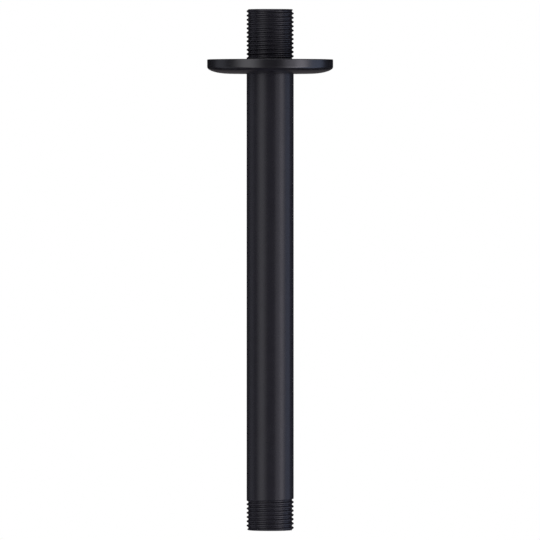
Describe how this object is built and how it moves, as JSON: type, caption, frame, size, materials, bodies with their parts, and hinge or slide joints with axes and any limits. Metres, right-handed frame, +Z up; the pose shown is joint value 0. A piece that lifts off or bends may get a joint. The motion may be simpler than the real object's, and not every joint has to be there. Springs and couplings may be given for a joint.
{
  "type": "shower arm",
  "caption": "Straight ceiling-mounted shower arm: a thick-walled tube threaded at both ends, with a round sliding cover flange near the top that turns and slides on a rubber ring.",
  "frame": {"origin": "on the arm's axis, in the plane of the ceiling, which the flange's back touches; the ceiling thread's wall runs through this point", "axes": "+Z up along the arm's axis, towards the ceiling thread; X and Y are free because the solids are round"},
  "size_m": [0.0536, 0.0536, 0.2213],
  "materials": {
    "arm_finish": "satin",
    "flange_finish": "satin",
    "ring_rubber": "matte"
  },
  "bodies": {
    "arm": {"shower_arm": "arm_finish"},
    "ring": {"flange_o_ring": "ring_rubber"},
    "cover": {"flange": "flange_finish"}
  },
  "joints": [
    {"name": "flange_slide", "type": "slide", "parent": "arm", "child": "ring", "axis": [0, 0, -1], "range_m": [0, 0.178]},
    {"name": "flange_turn", "type": "hinge", "parent": "ring", "child": "cover", "pos_m": [0, 0, -0.0036], "axis": [0, 0, 1], "continuous": true}
  ]
}
